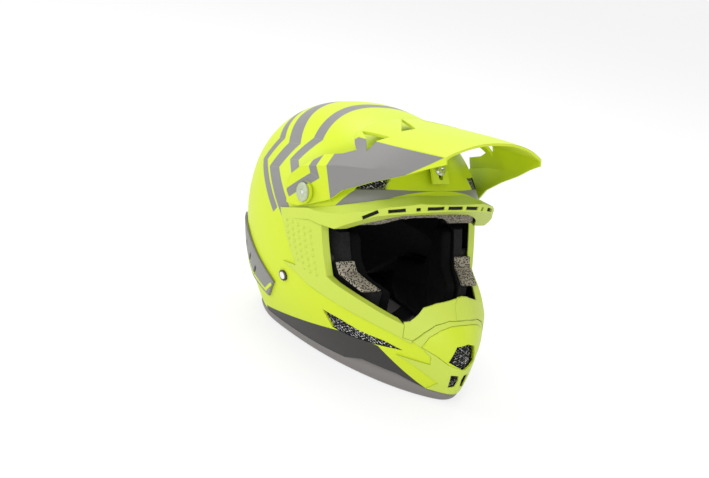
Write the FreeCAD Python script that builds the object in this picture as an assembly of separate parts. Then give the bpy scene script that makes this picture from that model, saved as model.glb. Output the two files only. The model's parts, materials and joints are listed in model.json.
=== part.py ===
"""Motocross helmet with an adjustable peak, standing on its rim.

Frame: millimetres, +Z up, the face looks along -Y, the wearer's right side is -X.
The origin lies on the plane the rim stands on, below the middle of the head.

Every wall of the helmet follows one master form. form(d) is that form moved outwards by d, and a
part is the space between two such forms, trimmed by prisms drawn in the side, front or top view.
"""
import FreeCAD
import Part
import math
import os
from FreeCAD import Vector

# --- overall form -------------------------------------------------------------------------------
BELT_Z = 140.0          # height of the widest section
DOME_RISE = 131.0       # crown above the belt
MID_Y = 15.0            # middle of the sections, front to back
ROUNDNESS = 2.35        # power of the dome's curve: 2 is an ellipse, more is boxier
RADIAL_POINTS = 20      # points round one section
FORM_BOTTOM = -12.0     # the form runs on below the rim, where it is trimmed
FRONT_REACH = [(-12, 205), (0, 214), (28, 224), (60, 225), (85, 219), (117, 200), (150, 176), (185, 156),
               (217, 143), (278, 138)]
BACK_REACH = [(-12, 76), (0, 84), (30, 106), (60, 122), (90, 133), (115, 138), (140, 140), (278, 138)]
HALF_WIDTH = [(-12, 80), (0, 86), (30, 101), (60, 112), (90, 119), (115, 123), (140, 125), (278, 125)]
FRONT_TAPER = [(-12, 1.3), (60, 1.3), (110, 1.25), (150, 1.15), (180, 1.0), (217, 0.9), (278, 0.87)]

# --- walls and clearances -----------------------------------------------------------------------
SHELL_WALL = 4.0
SEAT = 0.3              # gap between parts that rest on each other
FIT = 0.06              # radial clearance of a shank in its hole
COVER_WALL = 2.0        # moulded covers laid on the shell
OUTER_LINER_WALL = 14.0
LINER_SPACING = 4.0     # room for the dampers between the two liners
INNER_LINER_WALL = 14.0
CROWN_PAD_WALL = 8.0
CHIN_LINER_WALL = 16.0
STRAP_CHANNEL = 14.0    # room for the strap between the shell and the cheek liner
CHEEK_LINER_WALL = 12.0
GRILLE_WALL = 1.4

# --- eyeport (side view: y, z) ------------------------------------------------------------------
EYEPORT = [(-60, 158), (-66, 141), (-73, 123), (-80.5, 104), (-91, 100), (-126, 91.5), (-151, 85),
           (-165, 82), (-240, 70), (-240, 240), (-142, 200.5), (-131, 194.5), (-115, 186.5),
           (-98, 173.5), (-80, 159.5)]
TRIM_RIM = 3.0          # width of the trim that fills the edge of the shell
TRIM_DEPTH = 7.0        # how far that rim reaches inwards
TRIM_OUTLINE = [(3, 155), (-35, 99.5), (-13, 96.5), (-38, 91), (-57, 84.5), (-82, 80.5), (-106, 76.7),
                (-132, 73), (-157, 68.7), (-180, 62), (-180, 120), (-90, 120), (-90, 172), (-46, 172),
                (-39, 169)]
DIMPLE_RADIUS = 2.0
DIMPLE_RISE = 1.2
DIMPLE_PITCH = 6.4
DIMPLE_COLUMNS = [(-12, 146, 5), (-21, 146, 7), (-30, 146, 8), (-39, 146, 8), (-48, 146, 8)]
DIMPLE_LEAN = 0.42      # how far a column moves forward for each millimetre down

# --- brow: side view (y, z), front view (x, z) and plan (x, y) ------------------------------------------------------
BROW_UPPER = [(3, 155), (-39, 169.5), (-72, 184), (-96, 197), (-109, 205.5), (-112, 209.5)]
BROW_FRONT = [(-149, 208.8)]
BROW_CREST = [(0, 140), (140, 140), (140, 160), (116, 172), (99.5, 186), (75, 199), (45, 207.8), (20, 209.4),
              (0, 209.8)]   # front view (x, z)
BROW_PLAN = [(0, -143), (30, -140.5), (58, -131), (86, -113), (104, -92), (114, -68), (121, -40),
             (127.4, 6)]
BROW_SLOTS = [(0, 21), (26, 21), (46, 5), (67, 19), (89, 19)]    # middle and length of each slot
SLOT_HEIGHT = 4.0
SLOT_DEPTH = 12.0
SLOT_LEAD = 3.0         # the slots follow the lip this far behind its edge
SLOT_SPAN = 5.0         # over which the slope of the lip is taken
SLOT_ABOVE_LIP = 5.6

# --- rim -----------------------------------------------------------------------------------------
RIM_LINE = [(175, 12), (-64, 13), (-101, 14), (-125, 22), (-163, 21), (-190, 12.5), (-250, 10)]
RIM_WALL = 9.0
RIM_LIP = 6.0           # how far the inner lip of the rim climbs inside the shell
RIM_BULGE = 1.2
RIM_REAR_STEP = 6.0     # how far the rim stands out at the nape

# --- chin (front view: x, z) ---------------------------------------------------------------------
NOSE_GUARD = [(0, 98), (20, 95.5), (33, 89), (42, 79), (50, 66.5), (57, 67), (57.5, 84), (53, 86.5),
              (47, 95), (42, 103.5), (30, 110), (12, 116), (0, 119)]
NOSE_FACET = [(0, 98), (13, 97), (12, 112), (7, 118), (0, 119)]
MOUTH_PIECE = [(0, 11.5), (26, 13.5), (20, 23.5), (46, 40), (57, 45), (31.5, 44), (32.5, 52.5),
               (42, 61), (49.5, 65.5), (41.5, 78), (32.7, 88.3), (20, 94.9), (0, 97.4)]
SHIELD = [(0, 44), (17, 48.5), (29, 56), (42, 62), (37.5, 74.5), (28.5, 84), (18.5, 90), (8, 92.3),
          (0, 92.6)]
CHIN_VENT = [(0, 43.5), (18, 51.5), (12.5, 70), (0, 73.4)]
LOWER_VENT = [(12, 36.5), (4, 36.5), (2, 31), (3.5, 22.5), (10.5, 20.5)]
NOSE_RAISE = 0.9
SHIELD_RAISE = 0.7
COVER_FRONT_Y = -120.0  # covers of the chin lie in front of this

# --- vents (side view: y, z; or front view: x, z) --------------------------------------------------
SIDE_VENT = [(-76.5, 63), (-89.5, 46.7), (-113, 45.2), (-141.5, 47.7), (-169.5, 51.8), (-152, 55.8),
             (-125, 56.7), (-100, 61)]
BROW_VENT = [(88, 203), (62, 210), (54, 222), (80, 217)]
REAR_VENT = [(16, 92), (50, 99), (44, 118), (20, 112)]
REAR_PANEL = [(5, 62.5), (20, 38.5), (62, 46), (108, 78), (116, 108), (83, 103), (49, 84.5)]
REAR_PANEL_RISE = 3.2
REAR_SLOTS = [(52, 58), (68, 68), (84, 79)]
GRILLE_PITCH = 5.0
GRILLE_HOLE = 1.75
GRILLE_RIM = 0.9
GRILLE_LEDGE = 2.0      # the plate is wider than the vent in the cover over it
GRILLE_SET = 0.6        # how far the plate is set in

# --- peak: one section per station: y, crown z, shoulder x and z, ridge x and z, lower x ------------
PEAK_STATIONS = [(-200, 294.0, 64.0, 277.0, 65.0, 261.0, 63.5),
                 (-182, 292.5, 68.0, 275.0, 69.0, 257.0, 67.5),
                 (-137, 287.5, 78.0, 269.5, 84.0, 245.0, 81.0),
                 (-91, 281.0, 84.5, 263.0, 101.0, 233.0, 97.5),
                 (-53, 276.0, 84.5, 258.5, 115.0, 223.0, 112.5),
                 (-28, 273.0, 80.0, 254.0, 123.5, 214.0, 123.0),
                 (10, 271.0, 76.0, 252.0, 129.0, 212.0, 129.0)]
PEAK_WALL = 2.8
PEAK_OUTLINE = [(-28, 284), (-47, 259), (-72, 247), (-58, 238.5), (-34, 229.5), (-21, 213), (-9, 200),
                (-4, 187), (-9, 165.5), (-25, 167), (-42, 175), (-62, 187), (-75, 202), (-108, 223),
                (-143, 242), (-168, 258), (-186, 268), (-184, 276), (-190, 297), (-190, 320), (-28, 320)]
PEAK_BASE_Z = 150.0
GILLS = [[(10, -30), (55, -91), (38, -93)], [(76, -50), (92, -86), (72, -95)]]
PIVOT_Y = -31.0
PIVOT_Z = 185.0
PIVOT_FACE = 123.6      # outer face of the peak's pivot boss
PIVOT_BOSS_RADIUS = 13.0
SCREW_RADIUS = 3.0
SCREW_HEAD_RADIUS = 11.0
SCREW_HEAD = 3.0
INSERT_RADIUS = 4.6
INSERT_FLANGE = 8.0
INSERT_WALL = 1.8
SPACER_RADIUS = 7.5
TONGUE_ANGLE = 35.0     # of the centre screw above level, seen from the pivot
TONGUE_RADIUS = 86.0
TONGUE_WALL = 2.8
TONGUE_WIDTH = 24.0
TONGUE_TOP = 52.0
GUSSET_WALL = 3.0
SLOT_SPARE = 0.4        # degrees
TONGUE_REST = 5.5       # degrees of tongue below the lowest place of the centre screw
TILT = 5.0              # the peak tilts this far each way

# --- strap ---------------------------------------------------------------------------------------
RIVET_Y = -13.0
RIVET_Z = 78.0
RIVET_RADIUS = 3.0
PLATE_X = 104.0
PLATE_WALL = 1.6
PLATE_RADIUS = 9.0
PLATE_TONGUE_Z = 64.0
WEB_WALL = 1.8
WEB_WIDTH = 24.0
RING_WIRE = 1.8
RING_Z = 7.5
RING_STACK = 3.8
RING_LEFT_X = 38.0
RING_RIGHT_X = 20.0
RIGHT_ROUTE = [(-102.8, 71.5), (-102.4, 63), (-95, 44), (-83, 25), (-70, 14), (-45, 7), (-10, 5.1), (18.6, 4.9)]
LEFT_ROUTE = [(102.8, 71.5), (102.4, 63), (95, 44), (83, 25), (70, 14.5), (55, 10), (41, 9.4)]
TAIL_ROUTE = [(18.6, 13.9), (8, 12.2), (-6, 8.8)]
PAD_ROUTE = [(-62, 10.7), (-45, 7), (-28, 5.7), (-14, 5.2)]

# --- pads ----------------------------------------------------------------------------------------
HEAD_HALF_WIDTH = 66.0
HEAD_HALF_LENGTH = 150.0
HEAD_Y = 8.0
CHEEK_OUTLINE = [(-66, 150), (-77, 122), (-86, 108), (-118, 98), (-118, 62), (-95, 34), (-40, 31),
                 (2, 31), (15, 44), (17, 86), (-40, 97), (-44, 150)]
CHEEK_MESH = [(-78, 120), (-86, 108), (-118, 98), (-119.4, 102), (-88, 112), (-81.5, 122)]
CHEEK_SNAPS = [(-62, 118), (-88, 72), (-56, 60)]
SNAP_RADIUS = 6.0
TAB_PLACE = (56.0, -79.0)   # plan (x, y) of the left pull tab
TAB_WALL = 2.0
TAB_WIDTH = 14.0
TAB_LENGTH = 19.0
CHIN_LINER = [(-56, 31), (56, 31), (56, 79), (-56, 79)]
NECK_ROLL_FRONT = 45.0
NECK_ROLL_LOW = 5.0
NECK_ROLL_WALL = 15.0
BROW_PAD_DEPTH = 44.0
BROW_PAD = [(-64, 159.5), (-79, 161), (-97, 175), (-114, 188), (-130, 196), (-130, 206), (-110, 195.3),
            (-92, 182.3), (-66, 167.3), (-58, 163)]
LINER_OUTLINE = [(200, 42), (62, 42), (20, 90), (-38, 101), (-41, 154), (-66, 168), (-92, 183),
                 (-110, 196), (-160, 222), (-160, 320), (200, 320)]
DAMPER_RADIUS = 8.0
DAMPER_SEAT = 0.15
DAMPER_RINGS = [(64, 5, 90), (36, 8, 45), (8, 10, 0)]  # height angle, count and first bearing

forms = {}


def along(stations, z):
    """Value at z on a smooth curve through (z, value) stations."""
    heights = [s[0] for s in stations]
    values = [s[1] for s in stations]
    z = min(max(z, heights[0]), heights[-1])
    i = max(k for k in range(len(heights) - 1) if heights[k] <= z)

    def slope(k):
        low = max(k - 1, 0)
        high = min(k + 1, len(heights) - 1)
        return (values[high] - values[low]) / (heights[high] - heights[low])

    span = heights[i + 1] - heights[i]
    t = (z - heights[i]) / span
    start = (2 * t ** 3 - 3 * t ** 2 + 1) * values[i] + (t ** 3 - 2 * t ** 2 + t) * span * slope(i)
    end = (-2 * t ** 3 + 3 * t ** 2) * values[i + 1] + (t ** 3 - t ** 2) * span * slope(i + 1)
    return start + end


def section(z, d, rear_step=0.0):
    """Closed level curve of the form at height z, moved out by d."""
    shrink = 1.0
    if z > BELT_Z:
        shrink = (1 - ((z - BELT_Z) / (DOME_RISE + d)) ** ROUNDNESS) ** (1 / ROUNDNESS)
    front = (along(FRONT_REACH, z) + d) * shrink
    back = (along(BACK_REACH, z) + d + rear_step) * shrink
    width = (along(HALF_WIDTH, z) + d) * shrink
    taper = along(FRONT_TAPER, z)
    points = []
    for k in range(RADIAL_POINTS):
        angle = 2 * math.pi * k / RADIAL_POINTS
        across = math.cos(angle)
        depth = math.sin(angle)
        power = 2 / ROUNDNESS if depth >= 0 else taper
        x = width * math.copysign(abs(across) ** power, across)
        y = MID_Y + back * depth ** (2 / ROUNDNESS) if depth >= 0 else MID_Y + front * depth
        points.append(Vector(x, y, z))
    curve = Part.BSplineCurve()
    steps = [k / RADIAL_POINTS for k in range(RADIAL_POINTS + 1)]
    curve.interpolate(Points=points, PeriodicFlag=True, Parameters=steps)
    return Part.Wire([curve.toShape()])


def form(d):
    """The master form as a solid, moved outwards by d."""
    if d not in forms:
        levels = [FORM_BOTTOM, 0, 28, 60, 85, 117, BELT_Z, 160, 180, 200, 218]
        levels += [BELT_Z + (DOME_RISE + d) * f for f in (0.70, 0.80, 0.885, 0.945, 0.985)]
        sections = [section(z, d) for z in sorted(levels)]
        sections.append(Part.Vertex(Vector(0, MID_Y, BELT_Z + DOME_RISE + d)))
        forms[d] = Part.makeLoft(sections, True, False)
    return forms[d]


def layer(outer, inner, keep):
    """The part of the prism keep that lies between two forms."""
    return keep.common(form(outer)).cut(form(inner))


def grown(points, d):
    """A polygon with every side moved outwards by d."""
    count = len(points)
    area = sum(points[i - 1][0] * points[i][1] - points[i][0] * points[i - 1][1] for i in range(count))
    turn = 1 if area > 0 else -1
    normals = []
    for i in range(count):
        (ax, ay), (bx, by) = points[i], points[(i + 1) % count]
        length = math.hypot(bx - ax, by - ay)
        normals.append((turn * (by - ay) / length, -turn * (bx - ax) / length))
    moved = []
    for i in range(count):
        (px, py), (qx, qy) = normals[i - 1], normals[i]
        reach = d / (1 + px * qx + py * qy)
        moved.append((points[i][0] + (px + qx) * reach, points[i][1] + (py + qy) * reach))
    return moved


def prism(points, place, direction):
    """Prism on a polygon; place turns each 2-D point into a vector."""
    corners = [place(*p) for p in points]
    return Part.Face(Part.makePolygon(corners + corners[:1])).extrude(direction)


def side_prism(points, x0=-200.0, x1=200.0):
    return prism(points, lambda y, z: Vector(x0, y, z), Vector(x1 - x0, 0, 0))


def front_prism(points, y0=-260.0, y1=COVER_FRONT_Y):
    return prism(points, lambda x, z: Vector(x, y0, z), Vector(0, y1 - y0, 0))


def plan_prism(points, z0, z1):
    return prism(points, lambda x, y: Vector(x, y, z0), Vector(0, 0, z1 - z0))


def both_sides(half):
    """A half outline from the middle line out and back, closed by its mirror image."""
    return half + [(-x, z) for x, z in reversed(half) if x > 0]


def on_side(points, side):
    return [(side * x, z) for x, z in points]


def mirror(shape):
    return shape.mirror(Vector(0, 0, 0), Vector(1, 0, 0))


def block(x0, x1, y0, y1, z0, z1):
    return Part.makeBox(x1 - x0, y1 - y0, z1 - z0, Vector(x0, y0, z0))


def pin_x(radius, x0, x1, y, z):
    """Cylinder along X."""
    return Part.makeCylinder(radius, x1 - x0, Vector(x0, y, z), Vector(1, 0, 0))


def tongue_pin(radius, r0, r1, offset=0.0):
    """Cylinder on the line of the centre screw, between two distances from the pivot."""
    angle = math.radians(TONGUE_ANGLE + offset)
    direction = Vector(0, -math.cos(angle), math.sin(angle))
    start = Vector(0, PIVOT_Y, PIVOT_Z) + direction * r0
    return Part.makeCylinder(radius, r1 - r0, start, direction)


def biggest(shape):
    return max(shape.Solids, key=lambda s: s.Volume)


def save(name, shape):
    assert shape.isValid(), name
    shape.exportStep("parts/%s.step" % name)
    print("%-24s %3d solid %10.1f mm3" % (name, len(shape.Solids), shape.Volume), flush=True)


def brow_lower():
    """Lower edge of the brow, from the front to the corner of the eyeport."""
    return EYEPORT[10:] + EYEPORT[:1]


# --- shell and rim --------------------------------------------------------------------------------
def make_shell():
    above_rim = side_prism(RIM_LINE + [(-250, 320), (175, 320)])
    cutters = [side_prism(grown(EYEPORT, TRIM_RIM + SEAT)),
               front_prism(grown(both_sides(CHIN_VENT), GRILLE_LEDGE)),
               tongue_pin(INSERT_RADIUS + FIT, 60.0, 100.0)]
    for side in (-1, 1):
        x0, x1 = sorted((side * 40.0, side * 200.0))
        cutters.append(front_prism(grown(on_side(LOWER_VENT, side), GRILLE_LEDGE)))
        cutters.append(side_prism(SIDE_VENT, x0, x1))
        cutters.append(front_prism(on_side(BROW_VENT, side), y1=-40.0))
        cutters.append(front_prism(on_side(REAR_VENT, side), y0=100.0, y1=200.0))
        x0, x1 = sorted((side * 90.0, side * 160.0))
        cutters.append(pin_x(INSERT_RADIUS + FIT, x0, x1, PIVOT_Y, PIVOT_Z))
        cutters.append(pin_x(RIVET_RADIUS + FIT, x0, x1, RIVET_Y, RIVET_Z))
    return biggest(layer(0.0, -SHELL_WALL, above_rim).cut(cutters))


def make_base_trim():
    """Rolled rim that the helmet stands on, with a lip inside the shell."""
    below = [(y, z - SEAT) for y, z in RIM_LINE]
    keep = side_prism(below + [(-250, -1), (175, -1)])
    levels = [(0, -2.5), (1.5, -0.6), (4, RIM_BULGE), (10, RIM_BULGE), (30, RIM_BULGE - 1)]
    sections = [section(z, d, RIM_REAR_STEP * max(0.0, 1 - z / 24)) for z, d in levels]
    rim = Part.makeLoft(sections, True, False).common(keep).cut(form(-RIM_WALL))
    climb = [(y, z + RIM_LIP) for y, z in RIM_LINE]
    lip = layer(-SHELL_WALL - SEAT, -RIM_WALL, side_prism(climb + [(-250, 5), (175, 5)]))
    return biggest(rim.fuse(lip).removeSplitter())


# --- eyeport trim ---------------------------------------------------------------------------------
def make_trim():
    """Soft trim of the eyeport: a rim in the shell's edge, two dimpled side panels and the brow."""
    eye = side_prism(EYEPORT)
    rim = layer(COVER_WALL, -TRIM_DEPTH, side_prism(grown(EYEPORT, TRIM_RIM)).cut(eye))
    panel = layer(COVER_WALL, SEAT, side_prism(TRIM_OUTLINE).cut(eye))
    profile = side_prism(BROW_UPPER + BROW_FRONT + brow_lower() + [(-45, 158), (-20, 150)])
    crest = front_prism(both_sides(BROW_CREST), y1=60.0)
    brow = profile.common(brow_ledge()).common(crest).cut(form(SEAT))
    cutters = [front_prism(grown(both_sides(NOSE_GUARD), SEAT)), block(-50, 50, -260, COVER_FRONT_Y, 0, 125)]
    for middle, length in BROW_SLOTS:
        for side in ((1, -1) if middle else (1,)):
            cutters.append(brow_slot(side * middle, length))
    trim = rim.fuse([panel, brow]).cut(cutters)
    return biggest(trim).fuse(dimples())


def brow_ledge():
    """The plan outline of the brow, raised to a wall."""
    route = list(reversed(BROW_PLAN)) + [(-x, y) for x, y in BROW_PLAN[1:]]
    base = [Vector(x, y, 130) for x, y in route]
    curve = Part.BSplineCurve()
    curve.interpolate(base)
    back = Part.makePolygon([base[-1], Vector(0, 60, 130), base[0]])
    return Part.Face(Part.Wire([curve.toShape()] + back.Edges)).extrude(Vector(0, 0, 100))


def brow_slot(x, length):
    """Air slot that follows the lip of the brow."""
    def lip(across):
        y = along(BROW_PLAN, across)
        return y, along(sorted(brow_lower()), y + SLOT_LEAD) + SLOT_ABOVE_LIP

    y, z = lip(abs(x))
    inner_y, inner_z = lip(max(abs(x) - SLOT_SPAN, 0.0))
    outer_y, outer_z = lip(abs(x) + SLOT_SPAN)
    turn = math.degrees(math.atan((outer_y - inner_y) / (2 * SLOT_SPAN)))
    fall = math.degrees(math.atan((inner_z - outer_z) / (2 * SLOT_SPAN)))
    slot = block(-length / 2, length / 2, -SLOT_DEPTH / 2, SLOT_DEPTH, -SLOT_HEIGHT / 2, SLOT_HEIGHT / 2)
    if x:
        slot.rotate(Vector(0, 0, 0), Vector(0, 1, 0), math.copysign(fall, x))
        slot.rotate(Vector(0, 0, 0), Vector(0, 0, 1), math.copysign(turn, x))
    slot.translate(Vector(x, y, z))
    return slot


def dimples():
    """Small domes in slanted columns on the side panels."""
    found = []
    for y, top, count in DIMPLE_COLUMNS:
        for k in range(count):
            z = top - DIMPLE_PITCH * k
            lean = y - DIMPLE_LEAN * (top - z)
            x = surface_x(lean, z, COVER_WALL) - DIMPLE_RADIUS + DIMPLE_RISE
            for side in (-1, 1):
                outwards = Vector(side, 0, 0)
                found.append(Part.makeSphere(DIMPLE_RADIUS, outwards * x + Vector(0, lean, z), outwards, 0, 90))
    return found


def surface_x(y, z, d):
    """Half width of the form, moved out by d, at one place in the side view."""
    line = Part.makeLine(Vector(0, y, z), Vector(200, y, z))
    return max(v.X for v in line.common(form(d)).Vertexes)


# --- chin -----------------------------------------------------------------------------------------
def make_nose_guard():
    guard = layer(COVER_WALL, SEAT, front_prism(both_sides(NOSE_GUARD)))
    facet = layer(COVER_WALL + NOSE_RAISE, SEAT, front_prism(both_sides(NOSE_FACET)))
    return biggest(guard.fuse(facet).removeSplitter())


def make_mouth_piece():
    cutters = [front_prism(grown(both_sides(SHIELD), SEAT)), front_prism(both_sides(CHIN_VENT))]
    cutters += [front_prism(on_side(LOWER_VENT, side)) for side in (-1, 1)]
    return biggest(layer(COVER_WALL, SEAT, front_prism(both_sides(MOUTH_PIECE))).cut(cutters))


def make_shield():
    piece = layer(COVER_WALL + SHIELD_RAISE, SEAT, front_prism(both_sides(SHIELD)))
    return biggest(piece.cut(front_prism(both_sides(CHIN_VENT))))


# --- grilles --------------------------------------------------------------------------------------
def hole_centres(outline):
    """Staggered places for holes that lie inside an outline with a rim left round them."""
    margin = GRILLE_HOLE + GRILLE_RIM
    found = []
    low_u, high_u = min(p[0] for p in outline), max(p[0] for p in outline)
    low_v, high_v = min(p[1] for p in outline), max(p[1] for p in outline)
    row = GRILLE_PITCH * math.sin(math.radians(60))
    for j in range(int((high_v - low_v) / row) + 1):
        for i in range(int((high_u - low_u) / GRILLE_PITCH) + 1):
            place = (low_u + (i + 0.5 * (j % 2)) * GRILLE_PITCH, low_v + j * row)
            if clear_inside(place, outline, margin):
                found.append(place)
    return found


def clear_inside(place, outline, margin):
    """True where a point lies inside a polygon, further than margin from its sides."""
    inside = False
    u, v = place
    for i in range(len(outline)):
        (au, av), (bu, bv) = outline[i - 1], outline[i]
        if (av > v) != (bv > v) and u < (bu - au) * (v - av) / (bv - av) + au:
            inside = not inside
        t = ((u - au) * (bu - au) + (v - av) * (bv - av)) / ((bu - au) ** 2 + (bv - av) ** 2)
        t = min(1.0, max(0.0, t))
        if math.hypot(u - au - t * (bu - au), v - av - t * (bv - av)) < margin:
            return False
    return inside


def grille(outline, build, drill):
    """Perforated plate that fills an opening of the shell; build makes the opening's prism."""
    plate = layer(-GRILLE_SET, -GRILLE_SET - GRILLE_WALL, build(grown(outline, -SEAT)))
    return biggest(plate.cut([drill(*place) for place in hole_centres(outline)]))


def drill_front(x, z):
    return Part.makeCylinder(GRILLE_HOLE, 300, Vector(x, -260, z), Vector(0, 1, 0))


def drill_rear(x, z):
    return Part.makeCylinder(GRILLE_HOLE, 100, Vector(x, 90, z), Vector(0, 1, 0))


def drill_side(y, z):
    return Part.makeCylinder(GRILLE_HOLE, 160, Vector(40, y, z), Vector(1, 0, 0))


def make_grilles():
    chin = grille(grown(both_sides(CHIN_VENT), GRILLE_LEDGE), front_prism, drill_front)
    lower = grille(grown(LOWER_VENT, GRILLE_LEDGE), front_prism, drill_front)
    side = grille(SIDE_VENT, lambda outline: side_prism(outline, 40.0, 200.0), drill_side)
    brow = grille(BROW_VENT, lambda outline: front_prism(outline, y1=-40.0), drill_front)
    rear = grille(REAR_VENT, lambda outline: front_prism(outline, y0=100.0, y1=200.0), drill_rear)
    return {"chin_vent_grille": chin,
            "lower_vent_grilles": Part.makeCompound([lower, mirror(lower)]),
            "side_vent_grille_right": mirror(side), "side_vent_grille_left": side,
            "brow_vent_grille_right": mirror(brow), "brow_vent_grille_left": brow,
            "rear_vent_grilles": Part.makeCompound([rear, mirror(rear)])}


def make_rear_panel():
    """Left cover of the rear exhaust: a raised plate with slanted slots."""
    panel = layer(REAR_PANEL_RISE, SEAT, side_prism(REAR_PANEL, 40.0, 200.0))
    cutters = []
    for y, z in REAR_SLOTS:
        slot = block(60, 200, -2.2, 2.2, -8, 8)
        slot.rotate(Vector(0, 0, 0), Vector(1, 0, 0), 35)
        slot.translate(Vector(0, y, z))
        cutters.append(slot)
    return biggest(panel.cut(cutters))


# --- liners and pads ------------------------------------------------------------------------------
def make_liners():
    keep = side_prism(LINER_OUTLINE)
    outer_face = -SHELL_WALL - SEAT
    spacing_face = outer_face - OUTER_LINER_WALL
    inner_face = spacing_face - LINER_SPACING
    pad_face = inner_face - INNER_LINER_WALL
    pockets = [tongue_pin(INSERT_FLANGE + 1, 66.0, 100.0)]
    for side in (-1, 1):
        x0, x1 = sorted((side * 101.0, side * 160.0))
        pockets.append(pin_x(INSERT_FLANGE + 1, x0, x1, PIVOT_Y, PIVOT_Z))
    outer = layer(outer_face, spacing_face, keep).cut(pockets)
    inner = layer(inner_face, pad_face, keep)
    above = block(-200, 200, -200, 200, 120, 320)
    crown = layer(pad_face - SEAT, pad_face - SEAT - CROWN_PAD_WALL, side_prism(grown(LINER_OUTLINE, -2.0)))
    return {"outer_liner": biggest(outer), "inner_liner": biggest(inner), "crown_pad": biggest(crown.common(above)),
            "liner_dampers": make_dampers(spacing_face, inner_face)}


def make_dampers(outer_face, inner_face):
    """Short rubber pucks in rings that keep the two liners apart."""
    spool = form(outer_face - DAMPER_SEAT).cut(form(inner_face + DAMPER_SEAT))
    centre = Vector(0, MID_Y, BELT_Z)
    dampers = []
    for height, count, first in DAMPER_RINGS:
        for k in range(count):
            turn = math.radians(first + 360.0 * k / count)
            tilt = math.radians(height)
            direction = Vector(math.cos(turn) * math.cos(tilt), math.sin(turn) * math.cos(tilt), math.sin(tilt))
            rod = Part.makeCylinder(DAMPER_RADIUS, 140, centre + direction * 40, direction)
            damper = biggest(rod.common(spool))
            middle = damper.CenterOfMass
            if clear_inside((middle.y, middle.z), LINER_OUTLINE, DAMPER_RADIUS + 2):
                dampers.append(damper)
    return Part.makeCompound(dampers)


def make_pads():
    """Left cheek liner and pad, mesh panel, snaps, and the pads on the middle line."""
    head = plan_ellipse(HEAD_HALF_WIDTH, HEAD_HALF_LENGTH)
    outline = side_prism(CHEEK_OUTLINE, 10.0, 200.0)
    outer_face = -SHELL_WALL - STRAP_CHANNEL
    inner_face = outer_face - CHEEK_LINER_WALL
    liner = biggest(layer(outer_face, inner_face, outline).cut(head))
    pad = biggest(outline.common(form(inner_face - SEAT)).cut(head))
    inner_head = plan_ellipse(HEAD_HALF_WIDTH + 3, HEAD_HALF_LENGTH + 3)
    mesh_keep = side_prism(CHEEK_MESH, 10.0, 200.0)
    mesh = biggest(mesh_keep.common(form(outer_face)).cut(inner_head).cut(outline_grown()))
    gap = form(-SHELL_WALL - SEAT).cut(form(outer_face + SEAT))
    snaps = [biggest(pin_x(SNAP_RADIUS, 40, 160, y, z).common(gap)) for y, z in CHEEK_SNAPS]
    snaps += [mirror(s) for s in snaps]
    foot = min(z for y, z in CHEEK_OUTLINE)
    tab_x, tab_y = TAB_PLACE
    tab = biggest(block(tab_x - TAB_WALL / 2, tab_x + TAB_WALL / 2, tab_y - TAB_WIDTH / 2, tab_y + TAB_WIDTH / 2,
                        foot - TAB_LENGTH, foot + TAB_WIDTH).cut(outline_grown()))
    neck = layer(-RIM_WALL - SEAT, -RIM_WALL - NECK_ROLL_WALL,
                 block(-200, 200, NECK_ROLL_FRONT, 200, NECK_ROLL_LOW, LINER_OUTLINE[0][1] - SEAT))
    chin = layer(-SHELL_WALL - SEAT, -SHELL_WALL - CHIN_LINER_WALL, front_prism(CHIN_LINER))
    chin = chin.cut([front_prism(grown(both_sides(CHIN_VENT), GRILLE_LEDGE)),
                     front_prism(grown(LOWER_VENT, GRILLE_LEDGE)),
                     front_prism(grown(on_side(LOWER_VENT, -1), GRILLE_LEDGE))])
    brow = layer(-TRIM_DEPTH - SEAT, -BROW_PAD_DEPTH, side_prism(BROW_PAD))
    return {"cheek_liner_left": liner, "cheek_liner_right": mirror(liner),
            "cheek_pad_left": pad, "cheek_pad_right": mirror(pad),
            "cheek_mesh_left": mesh, "cheek_mesh_right": mirror(mesh),
            "cheek_snaps": Part.makeCompound(snaps), "neck_roll": biggest(neck),
            "pull_tab_left": tab, "pull_tab_right": mirror(tab),
            "chin_bar_liner": biggest(chin), "brow_pad": biggest(brow)}


def outline_grown():
    return side_prism(grown(CHEEK_OUTLINE, SEAT), 10.0, 200.0)


def plan_ellipse(half_width, half_length):
    """Upright elliptical column: the space for the head between the cheek pads."""
    ellipse = Part.Ellipse(Vector(0, HEAD_Y + half_length, 0), Vector(half_width, HEAD_Y, 0), Vector(0, HEAD_Y, 0))
    return Part.Face(Part.Wire([ellipse.toShape()])).extrude(Vector(0, 0, 250))


# --- strap ----------------------------------------------------------------------------------------
def band(route, half_wall, half_width):
    """Flat strap along a smooth route in the front view (x, z)."""
    sides = {}
    for way in (-1, 1):
        points = []
        for i, (x, z) in enumerate(route):
            (ax, az), (bx, bz) = route[max(i - 1, 0)], route[min(i + 1, len(route) - 1)]
            length = math.hypot(bx - ax, bz - az)
            points.append(Vector(x - way * half_wall * (bz - az) / length, RIVET_Y - half_width,
                                 z + way * half_wall * (bx - ax) / length))
        curve = Part.BSplineCurve()
        curve.interpolate(points)
        sides[way] = (curve.toShape(), points)
    start = Part.makeLine(sides[-1][1][0], sides[1][1][0])
    end = Part.makeLine(sides[-1][1][-1], sides[1][1][-1])
    wire = Part.Wire(Part.__sortEdges__([sides[-1][0], end, sides[1][0], start]))
    return Part.Face(wire).extrude(Vector(0, 2 * half_width, 0))


def stadium(x, radius, half_width):
    """Rounded bar through both rings at x, of a given radius round the ring wires."""
    z0, z1 = RING_Z, RING_Z + RING_STACK
    y0 = RIVET_Y - half_width
    low = Part.makeCylinder(radius, 2 * half_width, Vector(x, y0, z0), Vector(0, 1, 0))
    high = Part.makeCylinder(radius, 2 * half_width, Vector(x, y0, z1), Vector(0, 1, 0))
    return low.fuse([high, block(x - radius, x + radius, y0, y0 + 2 * half_width, z0, z1)]).removeSplitter()


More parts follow.
